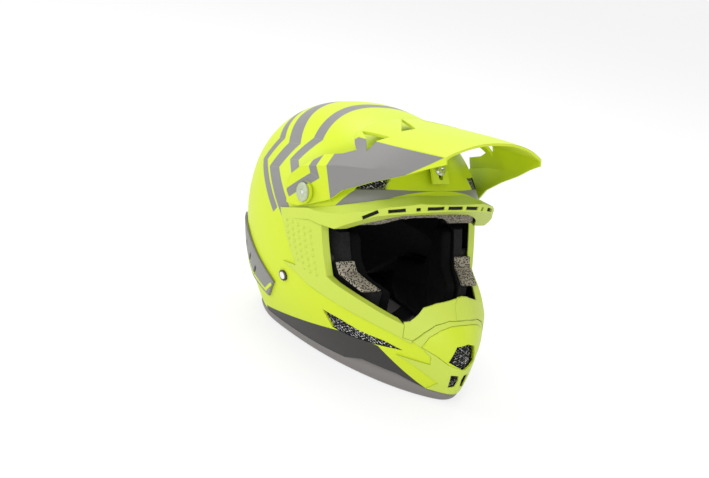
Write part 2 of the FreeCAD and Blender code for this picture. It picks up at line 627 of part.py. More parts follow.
def eye(x):
    """Loop of webbing round both rings."""
    inner = RING_WIRE + SEAT
    half = WEB_WIDTH / 2
    return stadium(x, inner + WEB_WALL, half).cut(stadium(x, inner, half + 1))


def make_strap():
    half = WEB_WIDTH / 2
    hollows = [stadium(x, RING_WIRE + SEAT, half + 1) for x in (RING_LEFT_X, RING_RIGHT_X)]
    right = band(RIGHT_ROUTE, WEB_WALL / 2, half).fuse([eye(RING_RIGHT_X), band(TAIL_ROUTE, WEB_WALL / 2, half)])
    left = band(LEFT_ROUTE, WEB_WALL / 2, half).fuse(eye(RING_LEFT_X))
    pad = band(PAD_ROUTE, 4.0, half + 4).cut(band(RIGHT_ROUTE, WEB_WALL / 2 + SEAT, half + SEAT))
    rings = [make_ring(RING_Z), make_ring(RING_Z + RING_STACK)]
    plate = make_anchor_plate()
    return {"chin_strap_right": biggest(right.cut(hollows)), "chin_strap_left": biggest(left.cut(hollows)),
            "strap_pad": biggest(pad), "d_rings": Part.makeCompound(rings),
            "strap_plate_left": plate, "strap_plate_right": mirror(plate)}


def make_ring(z):
    """Rounded rectangular ring of round wire, with its two bars along Y."""
    half_x = (RING_LEFT_X - RING_RIGHT_X) / 2
    half_y = WEB_WIDTH / 2 + RING_WIRE + 1.5
    middle = Vector((RING_LEFT_X + RING_RIGHT_X) / 2, RIVET_Y, z)
    corner = 4.0
    outline = Part.makePolygon([middle + Vector(sx * half_x, sy * half_y, 0) for sx, sy in
                                ((-1, -1), (1, -1), (1, 1), (-1, 1), (-1, -1))])
    rounded = Part.Face(outline).makeOffset2D(-corner, 0).makeOffset2D(corner, 0).OuterWire
    start = middle + Vector(-half_x, 0, 0)
    profile = Part.Wire([Part.makeCircle(RING_WIRE, start, Vector(0, 1, 0))])
    return rounded.makePipeShell([profile], True, False)


def make_anchor_plate():
    """Left steel plate that turns on the rivet and carries the webbing."""
    disc = pin_x(PLATE_RADIUS, PLATE_X, PLATE_X + PLATE_WALL, RIVET_Y, RIVET_Z)
    half = PLATE_RADIUS
    tongue = block(PLATE_X, PLATE_X + PLATE_WALL, RIVET_Y - half, RIVET_Y + half, PLATE_TONGUE_Z, RIVET_Z)
    return disc.fuse(tongue).removeSplitter().cut(pin_x(RIVET_RADIUS + FIT, 90, 130, RIVET_Y, RIVET_Z))


def make_rivets():
    """Left strap rivet with its collar and inner head, the outer cap and the ring under the cap."""
    shank = pin_x(RIVET_RADIUS, PLATE_X - 2.4, 130, RIVET_Y, RIVET_Z).common(form(SEAT))
    collar = pin_x(5.5, PLATE_X + PLATE_WALL + 0.1, 130, RIVET_Y, RIVET_Z).common(form(-SHELL_WALL - 0.1))
    head = pin_x(5.5, PLATE_X - 2.4, PLATE_X - 0.1, RIVET_Y, RIVET_Z)
    rivet = shank.fuse([collar, head]).removeSplitter()
    outside = form(3.0).cut(form(SEAT))
    cap = biggest(pin_x(4.2, 100, 130, RIVET_Y, RIVET_Z).common(outside))
    tube = pin_x(6.2, 100, 130, RIVET_Y, RIVET_Z).cut(pin_x(4.3, 100, 130, RIVET_Y, RIVET_Z))
    ring = biggest(tube.common(form(2.2)).cut(form(0.1)))
    found = {}
    for name, piece in (("strap_rivet", rivet), ("rivet_cap", cap), ("rivet_ring", ring)):
        found[name + "_left"] = piece
        found[name + "_right"] = mirror(piece)
    return found


# --- peak -----------------------------------------------------------------------------------------
def peak_section(station, wall):
    """Arched section of the peak: crown, shoulder, ridge and straight sides."""
    y, crown_z, shoulder_x, shoulder_z, ridge_x, ridge_z, low_x = station
    shoulder_x -= wall / 2
    ridge_x -= wall
    low_x -= wall
    base_z = PEAK_BASE_Z - wall
    rise = crown_z - shoulder_z
    top = []
    for f in (-1, -0.85, -0.6, -0.3, 0, 0.3, 0.6, 0.85, 1):
        top.append(Vector(f * shoulder_x, y, shoulder_z - wall + rise * (1 - abs(f) ** 2.4)))
    curve = Part.BSplineCurve()
    curve.interpolate(top)
    down = [top[-1], Vector(ridge_x, y, ridge_z), Vector(low_x, y, base_z), Vector(-low_x, y, base_z),
            Vector(-ridge_x, y, ridge_z), top[0]]
    return Part.Wire([curve.toShape()] + Part.makePolygon(down).Edges)


def peak_form(wall, stretch):
    stations = [list(s) for s in PEAK_STATIONS]
    stations[0][0] -= stretch
    stations[-1][0] += stretch
    return Part.makeLoft([peak_section(s, wall) for s in stations], True, False)


def sector(r0, r1, a0, a1, half_width):
    """Curved plate concentric with the pivot, between two angles above level."""
    def at(r, a):
        return Vector(-half_width, PIVOT_Y - r * math.cos(math.radians(a)), PIVOT_Z + r * math.sin(math.radians(a)))
    middle = (a0 + a1) / 2
    outer = Part.Arc(at(r1, a0), at(r1, middle), at(r1, a1)).toShape()
    inner = Part.Arc(at(r0, a1), at(r0, middle), at(r0, a0)).toShape()
    wire = Part.Wire([outer, Part.makeLine(at(r1, a1), at(r0, a1)), inner, Part.makeLine(at(r0, a0), at(r1, a0))])
    return Part.Face(wire).extrude(Vector(2 * half_width, 0, 0))


def make_peak():
    outer = peak_form(0.0, 0.0)
    wall = outer.cut(peak_form(PEAK_WALL, 2.0)).common(side_prism(PEAK_OUTLINE))
    gills = []
    for gill in GILLS:
        gills += [plan_prism(gill, 230, 300), plan_prism(on_side(gill, -1), 230, 300)]
    wall = biggest(wall.cut(gills))
    extra = [tongue(), *gussets(outer)]
    boss_in = PIVOT_FACE - PEAK_WALL
    cutters = []
    for side in (-1, 1):
        spans = ((PIVOT_BOSS_RADIUS, boss_in, PIVOT_FACE), (SPACER_RADIUS + 0.5, 95.0, boss_in),
                 (SCREW_HEAD_RADIUS + 0.5, PIVOT_FACE, 140.0), (SCREW_RADIUS + FIT, 90.0, 140.0))
        pins = []
        for radius, x0, x1 in spans:
            low, high = sorted((side * x0, side * x1))
            pins.append(pin_x(radius, low, high, PIVOT_Y, PIVOT_Z))
        extra.append(pins[0])
        cutters += pins[1:]
    return biggest(wall.fuse(extra).cut(cutters))


def tongue():
    """Slotted plate in front of the forehead that the centre screw clamps."""
    r0, r1 = TONGUE_RADIUS, TONGUE_RADIUS + TONGUE_WALL
    plate = sector(r0, r1, TONGUE_ANGLE - TILT - TONGUE_REST, TONGUE_TOP, TONGUE_WIDTH / 2)
    reach = TILT + SLOT_SPARE
    slot = sector(r0 - 5, r1 + 5, TONGUE_ANGLE - reach, TONGUE_ANGLE + reach, SCREW_RADIUS + 0.1)
    ends = [tongue_pin(SCREW_RADIUS + 0.1, r0 - 5, r1 + 5, way * reach) for way in (-1, 1)]
    return plate.cut([slot] + ends)


def gussets(outer):
    """Two ribs from the top of the tongue to the underside of the peak."""
    def at(r, a):
        return (PIVOT_Y - r * math.cos(math.radians(a)), PIVOT_Z + r * math.sin(math.radians(a)))
    r0, r1 = TONGUE_RADIUS, TONGUE_RADIUS + TONGUE_WALL
    outline = [at(r0, TONGUE_TOP), at(r1, TONGUE_TOP), at(r1, TONGUE_ANGLE + 9), (-118, 285), (-84, 281)]
    ribs = []
    for x in (-TONGUE_WIDTH / 2, TONGUE_WIDTH / 2 - GUSSET_WALL):
        ribs.append(side_prism(outline, x, x + GUSSET_WALL).common(outer))
    return ribs


def make_peak_hardware():
    """Screws, spacers and inserts that hold the peak."""
    face = -SHELL_WALL - 0.1
    flange = form(face).cut(form(face - INSERT_WALL))
    insert = pin_x(INSERT_FLANGE, 80, 140, PIVOT_Y, PIVOT_Z).common(flange)
    barrel = pin_x(INSERT_RADIUS, 104, 140, PIVOT_Y, PIVOT_Z).common(form(0.0))
    insert = insert.fuse(barrel).removeSplitter().cut(pin_x(SCREW_RADIUS + FIT, 80, 140, PIVOT_Y, PIVOT_Z))
    spacer = pin_x(SPACER_RADIUS, 90, PIVOT_FACE - PEAK_WALL - 0.1, PIVOT_Y, PIVOT_Z).cut(form(0.1))
    spacer = spacer.cut(pin_x(SCREW_RADIUS + FIT, 80, 140, PIVOT_Y, PIVOT_Z))
    face_x = PIVOT_FACE + 0.1
    screw = pin_x(SCREW_HEAD_RADIUS, face_x, face_x + SCREW_HEAD, PIVOT_Y, PIVOT_Z)
    rim_edges = [e for e in screw.Edges if abs(e.CenterOfMass.x - face_x - SCREW_HEAD) < 0.01 and e.Length > 30]
    screw = screw.makeFillet(1.2, rim_edges).fuse(pin_x(SCREW_RADIUS, 106, face_x, PIVOT_Y, PIVOT_Z))
    slot = block(face_x + SCREW_HEAD - 1.2, 140, PIVOT_Y - 0.8, PIVOT_Y + 0.8, PIVOT_Z - 5, PIVOT_Z + 5)
    screw = biggest(screw.removeSplitter().cut(slot))
    r1 = TONGUE_RADIUS + TONGUE_WALL
    boss = tongue_pin(SPACER_RADIUS, 70, TONGUE_RADIUS + 5).cut(form(0.1))
    boss = boss.common(pin_x(TONGUE_RADIUS - 0.1, -50, 50, PIVOT_Y, PIVOT_Z))
    boss = boss.cut(tongue_pin(SCREW_RADIUS + FIT, 60, 100))
    centre = tongue_pin(INSERT_FLANGE, 60, 100).common(flange)
    barrel = tongue_pin(INSERT_RADIUS, 72, 100).common(form(0.0))
    centre = centre.fuse(barrel).removeSplitter().cut(tongue_pin(SCREW_RADIUS + FIT, 60, 100))
    washer = tongue_pin(7.0, r1 + 0.1, r1 + 1.3).cut(tongue_pin(SCREW_RADIUS + FIT, 60, 100))
    head = tongue_pin(5.5, r1 + 1.4, r1 + 4.4)
    shank = tongue_pin(SCREW_RADIUS, 70, r1 + 1.4)
    socket = tongue_pin(2.0, r1 + 2.4, r1 + 6)
    return {"peak_insert_left": biggest(insert), "peak_insert_right": mirror(biggest(insert)),
            "peak_spacer_left": biggest(spacer), "peak_spacer_right": mirror(biggest(spacer)),
            "peak_screw_left": screw, "peak_screw_right": mirror(screw),
            "peak_boss": biggest(boss), "peak_insert_centre": biggest(centre), "peak_washer": washer,
            "peak_screw_centre": head.fuse(shank).removeSplitter().cut(socket)}


def main():
    os.makedirs("parts", exist_ok=True)
    rear_panel = make_rear_panel()
    parts = {"outer_shell": make_shell(), "base_trim": make_base_trim(), "eyeport_trim": make_trim(),
             "nose_guard": make_nose_guard(), "mouth_piece": make_mouth_piece(), "chin_shield": make_shield(),
             "rear_panel_left": rear_panel, "rear_panel_right": mirror(rear_panel), "peak": make_peak()}
    for group in (make_grilles, make_liners, make_pads, make_strap, make_rivets, make_peak_hardware):
        parts.update(group())
    for name, shape in parts.items():
        save(name, shape)


if __name__ == "__main__":
    main()
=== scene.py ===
"""Looks of a motocross helmet: paint, mouldings, wire mesh, sewn lining, webbing and hardware.

Lengths in the sections are millimetres, and MM turns them into Blender's metres. +Z is up and the
face looks along -Y, so -X is the wearer's right side.
"""
import json
import math

import bmesh
import bpy
from mathutils import Matrix, Vector

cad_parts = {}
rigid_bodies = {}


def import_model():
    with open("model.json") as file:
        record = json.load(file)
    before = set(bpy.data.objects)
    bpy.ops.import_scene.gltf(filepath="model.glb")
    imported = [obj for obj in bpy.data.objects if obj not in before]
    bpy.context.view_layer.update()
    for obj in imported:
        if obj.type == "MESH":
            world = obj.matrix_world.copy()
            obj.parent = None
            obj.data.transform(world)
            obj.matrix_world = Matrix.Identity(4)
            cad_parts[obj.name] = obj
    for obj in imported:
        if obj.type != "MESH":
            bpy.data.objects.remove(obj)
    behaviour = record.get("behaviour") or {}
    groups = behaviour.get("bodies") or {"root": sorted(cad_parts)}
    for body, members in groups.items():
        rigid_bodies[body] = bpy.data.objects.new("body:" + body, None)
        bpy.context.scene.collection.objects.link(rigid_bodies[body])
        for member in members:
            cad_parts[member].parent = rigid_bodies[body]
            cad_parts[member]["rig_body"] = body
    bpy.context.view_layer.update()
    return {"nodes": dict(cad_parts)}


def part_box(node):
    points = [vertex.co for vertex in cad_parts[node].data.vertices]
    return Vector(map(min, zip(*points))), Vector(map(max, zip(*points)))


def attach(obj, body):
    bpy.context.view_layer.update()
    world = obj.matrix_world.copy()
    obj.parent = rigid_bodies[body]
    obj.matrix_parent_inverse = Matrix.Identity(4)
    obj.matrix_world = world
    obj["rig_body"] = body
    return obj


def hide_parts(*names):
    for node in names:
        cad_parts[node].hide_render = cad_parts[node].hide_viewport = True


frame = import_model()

MM = 0.001


# --- Outer shell --------------------------------------------------------------------------------
# A moulded composite shell with a matte fluorescent yellow-green lacquer. Grey speed stripes and
# the dark band above the rim are masked and sprayed before the last matte coat. Inside it is bare.
LIME = (0.505, 0.62, 0.010, 1)
LIME_CLOUD = (0.525, 0.61, 0.015, 1)
STRIPE_GREY = (0.19, 0.187, 0.182, 1)
BAND_GREY = (0.028, 0.026, 0.025, 1)
EDGE_BLUR = 0.3
DOME_STRIPES = [([(-58, 168), (-8, 150), (42, 190), (30, 222), (84, 268)], 8.5),
                ([(14, 148), (70, 190), (59, 219), (108, 256)], 5.0),
                ([(-12, 186), (13, 208), (2, 236), (34, 280)], 6.0),
                ([(22, 40), (96, 92), (122, 150), (112, 196)], 5.5)]
FOREHEAD_BLOCK = [(-64, 178), (-98, 196), (-112, 214), (-76, 206)]
DARK_BAND = [(40, 17), (-113, 49), (-145, 47), (-189, 13), (-189, -5), (40, -5)]
RAW_COMPOSITE = (0.012, 0.012, 0.012, 1)
LACQUER_GLOSS = 0.42
SHELL_HEART = (0, -20, 130)         # the outside is what faces away from here


class Term:
    """A number or vector inside a material; Python's operators on it add Math nodes."""

    def __init__(self, paint, socket):
        self.paint = paint
        self.socket = socket

    def maths(self, operation, *others, **settings):
        return self.paint.add("ShaderNodeMath", {"operation": operation, **settings}, [self, *others])

    def __add__(self, other):
        return self.maths("ADD", other)

    def __sub__(self, other):
        return self.maths("SUBTRACT", other)

    def __rsub__(self, other):
        return self.paint.add("ShaderNodeMath", {"operation": "SUBTRACT"}, [other, self])

    def __mul__(self, other):
        return self.maths("MULTIPLY", other)

    def __truediv__(self, other):
        return self.maths("DIVIDE", other)

    def __or__(self, other):
        return self.maths("MAXIMUM", other)

    def __and__(self, other):
        return self.maths("MINIMUM", other)

    def __abs__(self):
        return self.maths("ABSOLUTE")

    __radd__ = __add__
    __rmul__ = __mul__

    def wave(self):
        return self.maths("SINE")

    def over(self, edge, blur):
        """1 where the value is above an edge, 0 below it, with a soft step."""
        return self.maths("MULTIPLY_ADD", 1 / blur, 0.5 - edge / blur, use_clamp=True)


class Paint:
    """A material: one Principled shader, and the nodes that feed it."""

    def __init__(self, name, **fixed):
        self.material = bpy.data.materials.new(name)
        self.material.use_nodes = True
        self.tree = self.material.node_tree
        self.shader = next(n for n in self.tree.nodes if n.type == "BSDF_PRINCIPLED")
        for socket, value in fixed.items():
            self.shader.inputs[socket.replace("_", " ")].default_value = value
        self.where = self.add("ShaderNodeTexCoord", out="Object")

    def add(self, kind, settings=None, values=(), out=0):
        node = self.tree.nodes.new(kind)
        for name, value in (settings or {}).items():
            setattr(node, name, value)
        pairs = values.items() if isinstance(values, dict) else enumerate(values)
        for key, value in pairs:
            if isinstance(value, Term):
                self.tree.links.new(value.socket, node.inputs[key])
            else:
                node.inputs[key].default_value = value
        return Term(self, node.outputs[out])

    def feed(self, **terms):
        for socket, term in terms.items():
            self.tree.links.new(term.socket, self.shader.inputs[socket.replace("_", " ")])
        return self

    def place(self):
        """The x, y and z of the surface point, in millimetres."""
        values = {"Vector": self.where, "Scale": 1 / MM}
        scaled = self.add("ShaderNodeVectorMath", {"operation": "SCALE"}, values)
        return self.parts(scaled)

    def facing(self):
        """The x, y and z of the direction that the surface faces."""
        return self.parts(self.add("ShaderNodeNewGeometry", out="Normal"))

    def parts(self, vector):
        split = self.add("ShaderNodeSeparateXYZ", None, [vector])
        return [Term(self, output) for output in split.socket.node.outputs]

    def mix(self, factor, first, second):
        return self.add("ShaderNodeMix", {"data_type": "RGBA"}, {0: factor, 6: first, 7: second}, out=2)

    def noise(self, size, detail=2.0):
        """Noise with lumps about size millimetres across."""
        values = {"Vector": self.where, "Scale": 1 / (size * MM), "Detail": detail}
        return self.add("ShaderNodeTexNoise", None, values)

    def cells(self, size, feature="F1", randomness=0.0, where=None):
        values = {"Vector": where or self.where, "Scale": 1 / (size * MM), "Randomness": randomness}
        return self.add("ShaderNodeTexVoronoi", {"feature": feature}, values)

    def relief(self, height, depth, rounding=0.0):
        """Bump of a given depth in millimetres, on edges that are rounded by rounding."""
        values = {"Height": height, "Distance": depth * MM, "Strength": 1.0}
        if rounding:
            values["Normal"] = self.add("ShaderNodeBevel", {"samples": 4}, {"Radius": rounding * MM})
        return self.add("ShaderNodeBump", None, values)

    def patch(self, u, v, corners):
        """1 inside a convex outline given by its (u, v) corners, 0 outside it."""
        middle_u = sum(c[0] for c in corners) / len(corners)
        middle_v = sum(c[1] for c in corners) / len(corners)
        depth = None
        for (au, av), (bu, bv) in zip(corners, corners[1:] + corners[:1]):
            length = math.hypot(bu - au, bv - av)
            nu, nv = (av - bv) / length, (bu - au) / length
            shift = -(nu * au + nv * av)
            if nu * middle_u + nv * middle_v + shift < 0:
                nu, nv, shift = -nu, -nv, -shift
            side = v.maths("MULTIPLY_ADD", nv, u.maths("MULTIPLY_ADD", nu, shift))
            depth = side if depth is None else depth & side
        return depth.over(0.0, EDGE_BLUR)

    def stripe(self, u, v, route, half_width):
        """1 on a mitred stripe along a route of (u, v) points."""
        rails = []
        for i, (pu, pv) in enumerate(route):
            ways = []
            for a, b in ((i - 1, i), (i, i + 1)):
                if 0 <= a and b < len(route):
                    way = Vector(route[b]) - Vector(route[a])
                    ways.append(Vector((-way.y, way.x)).normalized())
            across = sum(ways, Vector((0, 0)))
            across *= half_width * len(ways) / across.length_squared
            rails.append(((pu + across.x, pv + across.y), (pu - across.x, pv - across.y)))
        mask = None
        for (a, b), (c, d) in zip(rails, rails[1:]):
            part = self.patch(u, v, [a, b, d, c])
            mask = part if mask is None else mask | part
        return mask


def grainy(paint, colour, roughness, depth=0.02, grain=0.9, rounding=0.6):
    """Fine moulded grain: a little life in the colour, the gloss and the relief."""
    tint = paint.noise(35.0, 1.0)
    shade = paint.mix(tint.over(0.5, 1.2) * 0.05, colour, (0.0, 0.0, 0.0, 1))
    fine = paint.noise(grain)
    paint.feed(Base_Color=shade, Roughness=roughness + fine * 0.12 - 0.06,
               Normal=paint.relief(fine, depth, rounding))
    return paint


def bare_mesh(node, merge=0.01):
    """A bmesh of a frame node with its loose triangles joined."""
    mesh = bmesh.new()
    mesh.from_mesh(frame["nodes"][node].data)
    bmesh.ops.remove_doubles(mesh, verts=mesh.verts, dist=merge * MM)
    return mesh


def piece(name, mesh, paint, body, stands_for=(), crease=30.0):
    """Makes an object of a bmesh, smooth but for edges sharper than crease degrees, on a body."""
    limit = math.radians(crease)
    for face in mesh.faces:
        face.smooth = True
    for edge in mesh.edges:
        edge.smooth = len(edge.link_faces) == 2 and edge.calc_face_angle(0.0) < limit
    data = bpy.data.meshes.new(name)
    mesh.to_mesh(data)
    mesh.free()
    data.materials.append(paint.material)
    made = bpy.data.objects.new(name, data)
    bpy.context.scene.collection.objects.link(made)
    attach(made, body)
    if stands_for:
        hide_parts(*stands_for)
    return made


def dressed(node, paint, crease=30.0):
    """A merged, smooth copy of a rigid frame node that stands for it."""
    body = frame["nodes"][node]["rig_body"]
    return piece(node + "_finish", bare_mesh(node), paint, body, [node], crease)


def coated(node, paint):
    """Gives a hidden frame node its material and leaves its mesh."""
    data = frame["nodes"][node].data
    data.materials.clear()
    data.materials.append(paint.material)


shell_paint = Paint("shell_lacquer", Specular_IOR_Level=LACQUER_GLOSS)
x, y, z = shell_paint.place()
stripes = shell_paint.patch(y, z, FOREHEAD_BLOCK)
for route, half_width in DOME_STRIPES:
    stripes = stripes | shell_paint.stripe(y, z, route, half_width)
band = shell_paint.patch(y, z, DARK_BAND)
flake = shell_paint.noise(0.7)
cloud = shell_paint.noise(60.0, 1.0)
lime = shell_paint.mix(cloud * 0.08, LIME, LIME_CLOUD)
sprayed = shell_paint.mix(band, shell_paint.mix(stripes, lime, STRIPE_GREY), BAND_GREY)
to_x, to_y, to_z = shell_paint.facing()
from_x, from_y, from_z = (at - heart for at, heart in zip((x, y, z), SHELL_HEART))
outside = (to_x * from_x + to_y * from_y + to_z * from_z).over(-8.0, 4.0)
shell_paint.feed(Base_Color=shell_paint.mix(outside, RAW_COMPOSITE, sprayed),
                 Roughness=0.40 + flake * 0.10 + band * 0.05,
                 Normal=shell_paint.relief(flake + (stripes | band) * 1.5, 0.02, 0.8))
dressed("outer_shell", shell_paint, 24.0)

# --- Rim ----------------------------------------------------------------------------------------
# A rolled moulding of dark satin rubber that closes the lower edge of the shell. The helmet stands
# on it, so its lowest edge is scuffed a little lighter.
RIM_GREY = (0.17, 0.158, 0.153, 1)
SCUFF_GREY = (0.27, 0.26, 0.255, 1)
rim_rubber = Paint("rim_rubber", Specular_IOR_Level=LACQUER_GLOSS)
x, y, z = rim_rubber.place()
scuff = (1.0 - z.over(2.2, 3.0)) * rim_rubber.noise(3.0, 4.0).over(0.52, 0.25)
fine = rim_rubber.noise(0.8)
rim_rubber.feed(Base_Color=rim_rubber.mix(scuff * 0.5, RIM_GREY, SCUFF_GREY),
                Roughness=0.46 + fine * 0.12, Normal=rim_rubber.relief(fine, 0.03, 0.8))
dressed("base_trim", rim_rubber, 40.0)

# --- Foam liners, dampers and snaps ---------------------------------------------------------------
# Two shells of black expanded foam with soft rubber pucks between them, more foam behind the cheek
# pads and in the chin bar, all moulded from beads whose outlines still show.
foam = Paint("bead_foam", Roughness=0.85, Specular_IOR_Level=0.2)
beads = foam.cells(3.2, randomness=0.9)
# Both shades are darker than black foam: partly the foam's own black, partly painted shade for the inside
# of the helmet.
foam.feed(Base_Color=foam.mix(beads, (0.014, 0.014, 0.015, 1), (0.007, 0.007, 0.007, 1)),
          Normal=foam.relief(beads * -1.0, 0.35, 0.8))
for node in ("outer_liner", "inner_liner", "cheek_liner_left", "cheek_liner_right", "chin_bar_liner"):
    coated(node, foam)
soft_rubber = grainy(Paint("soft_rubber"), (0.03, 0.03, 0.032, 1), 0.6)
for node in ("liner_dampers", "cheek_snaps", "peak_spacer_left", "peak_spacer_right"):
    coated(node, soft_rubber)

# --- Eyeport trim ---------------------------------------------------------------------------------
# One soft matte moulding, a paler and greener lime than the lacquer, that clips on the edge of the
# eyeport. Its side panels have rows of small domes and its brow has air slots behind the lip.
TRIM_LIME = (0.475, 0.58, 0.06, 1)
trim_moulding = Paint("trim_moulding", Specular_IOR_Level=LACQUER_GLOSS)
grainy(trim_moulding, TRIM_LIME, 0.5, 0.03, 0.6, 0.9)
dressed("eyeport_trim", trim_moulding)

# --- Chin covers ----------------------------------------------------------------------------------
# Nose guard and mouth piece are of the same soft moulding as the trim. The shield round the chin
# vent is a harder, brighter cover that snaps on between them.
SHIELD_LIME = (0.50, 0.62, 0.016, 1)
for node in ("nose_guard", "mouth_piece"):
    dressed(node, trim_moulding)
shield_cover = Paint("shield_cover", Specular_IOR_Level=LACQUER_GLOSS)
grainy(shield_cover, SHIELD_LIME, 0.42, 0.02, 0.7, 0.8)
dressed("chin_shield", shield_cover)

# --- Wire grilles ---------------------------------------------------------------------------------
# Fine diamond mesh of dark steel wire, pressed to the curve of the shell and bonded in each vent on
# a thin black filter foam. Random patches of the wire are painted bare-metal grey, partly as wear of the
# black finish and partly as painted glints.
BELT_Z = 140.0
DOME_RISE = 131.0
MID_Y = 15.0
ROUNDNESS = 2.35
FRONT_REACH = [(-12, 205), (0, 214), (28, 224), (60, 225), (85, 219), (117, 200), (150, 176),
               (185, 156), (217, 143), (278, 138)]
BACK_REACH = [(-12, 76), (0, 84), (30, 106), (60, 122), (90, 133), (115, 138), (140, 140),
              (278, 138)]
HALF_WIDTH = [(-12, 80), (0, 86), (30, 101), (60, 112), (90, 119), (115, 123), (140, 125),
              (278, 125)]
FRONT_TAPER = [(-12, 1.3), (60, 1.3), (110, 1.25), (150, 1.15), (180, 1.0), (217, 0.9), (278, 0.87)]
CHIN_VENT = [(-18, 51.5), (0, 43.5), (18, 51.5), (12.5, 70), (0, 73.4), (-12.5, 70)]
LOWER_VENT = [(12, 36.5), (4, 36.5), (2, 31), (3.5, 22.5), (10.5, 20.5)]
SIDE_VENT = [(-76.5, 63), (-89.5, 46.7), (-113, 45.2), (-141.5, 47.7), (-169.5, 51.8),
             (-152, 55.8), (-125, 56.7), (-100, 61)]
BROW_VENT = [(88, 203), (62, 210), (54, 222), (80, 217)]
REAR_VENT = [(16, 92), (50, 99), (44, 118), (20, 112)]
MESH_CELL = 2.9
MESH_WIRE = 0.75
MESH_DEPTH = 1.9        # below the outside of the shell
MESH_MARGIN = 1.6       # tucked in behind the edge of the vent
MESH_SQUASH = (1.25, 0.8, 1, 1)     # the diamonds are wider than high
FILTER_DEPTH = 4.6
SHEET_WALL = 0.8


def along(stations, height):
    """Value at a height on straight lines through (height, value) stations."""
    height = min(max(height, stations[0][0]), stations[-1][0])
    i = max(k for k in range(len(stations) - 1) if stations[k][0] <= height)
    (h0, v0), (h1, v1) = stations[i], stations[i + 1]
    return v0 + (v1 - v0) * (height - h0) / (h1 - h0)


def reaches(height, offset):
    """Half width, front reach and back reach of the shell's form at a height."""
    shrink = 1.0
    if height > BELT_Z:
        rise = min((height - BELT_Z) / (DOME_RISE + offset), 0.999)
        shrink = (1 - rise ** ROUNDNESS) ** (1 / ROUNDNESS)
    return [(along(s, height) + offset) * shrink for s in (HALF_WIDTH, FRONT_REACH, BACK_REACH)]


def on_front(px, height, offset):
    width, front, back = reaches(height, offset)
    across = min(abs(px) / width, 1.0) ** (1 / along(FRONT_TAPER, height))
    return Vector((px, MID_Y - front * math.sqrt(1 - across ** 2), height))


def on_back(px, height, offset):
    width, front, back = reaches(height, offset)
    across = min(abs(px) / width, 1.0) ** (ROUNDNESS / 2)
    return Vector((px, MID_Y + back * (1 - across ** 2) ** (1 / ROUNDNESS), height))


def on_left(py, height, offset):
    width, front, back = reaches(height, offset)
    depth = min((MID_Y - py) / front, 1.0)
    return Vector((width * (1 - depth ** 2) ** (along(FRONT_TAPER, height) / 2), py, height))


def within(u, v, outline, margin):
    """True where (u, v) is inside an outline or closer to it than margin."""
    inside, gap = False, 1e9
    for (au, av), (bu, bv) in zip(outline, outline[1:] + outline[:1]):
        if (av > v) != (bv > v) and u < (bu - au) * (v - av) / (bv - av) + au:
            inside = not inside
        share = ((u - au) * (bu - au) + (v - av) * (bv - av)) / ((bu - au) ** 2 + (bv - av) ** 2)
        share = min(max(share, 0.0), 1.0)
        gap = min(gap, math.hypot(u - au - share * (bu - au), v - av - share * (bv - av)))
    return inside or gap < margin


def vent_grid(outline, surface, sides, depth):
    """A diamond grid over an outline, laid below the shell's outside, on each of its sides."""
    across, along_it = ([p[i] for p in outline] for i in (0, 1))
    half = 1.3 * max(max(across) - min(across), max(along_it) - min(along_it)) / 2
    middle = Vector((sum(across) / len(outline), sum(along_it) / len(outline), 0))
    rows = int(2.6 * half / MESH_CELL)
    grid = bmesh.new()
    diamond = Matrix.Diagonal(MESH_SQUASH) @ Matrix.Rotation(math.radians(45), 4, "Z")
    bmesh.ops.create_grid(grid, x_segments=rows, y_segments=rows, size=rows * MESH_CELL / 2,
                          matrix=Matrix.Translation(middle) @ diamond)
    outside = [f for f in grid.faces if not within(*f.calc_center_median().xy, outline, MESH_MARGIN)]
    bmesh.ops.delete(grid, geom=outside, context="FACES")
    for vert in grid.verts:
        vert.co = surface(vert.co.x, vert.co.y, -depth) * MM
    bmesh.ops.recalc_face_normals(grid, faces=grid.faces)
    if -1 in sides:
        near = grid.verts[:] + grid.edges[:] + grid.faces[:]
        if 1 in sides:
            near = bmesh.ops.duplicate(grid, geom=near)["geom"]
        verts = [g for g in near if isinstance(g, bmesh.types.BMVert)]
        faces = [g for g in near if isinstance(g, bmesh.types.BMFace)]
        bmesh.ops.scale(grid, vec=(-1, 1, 1), verts=verts)
        bmesh.ops.reverse_faces(grid, faces=faces)
    return grid


def drawn_wire(grid):
    """Turns the edges of a grid into wire."""
    bmesh.ops.wireframe(grid, faces=grid.faces[:], thickness=MESH_WIRE * MM, offset=0.5,
                        use_replace=True, use_boundary=True, use_even_offset=True)
    return grid


def thickened_sheet(sheet):
    """Gives an open sheet a wall as thick as the filter foam: for the vent filters, and for the
    painted-shade strip behind the brow slots.
    """
    bmesh.ops.solidify(sheet, geom=sheet.faces[:], thickness=SHEET_WALL * MM)
    bmesh.ops.recalc_face_normals(sheet, faces=sheet.faces)
    return sheet


wire = Paint("mesh_wire", Metallic=0.85)
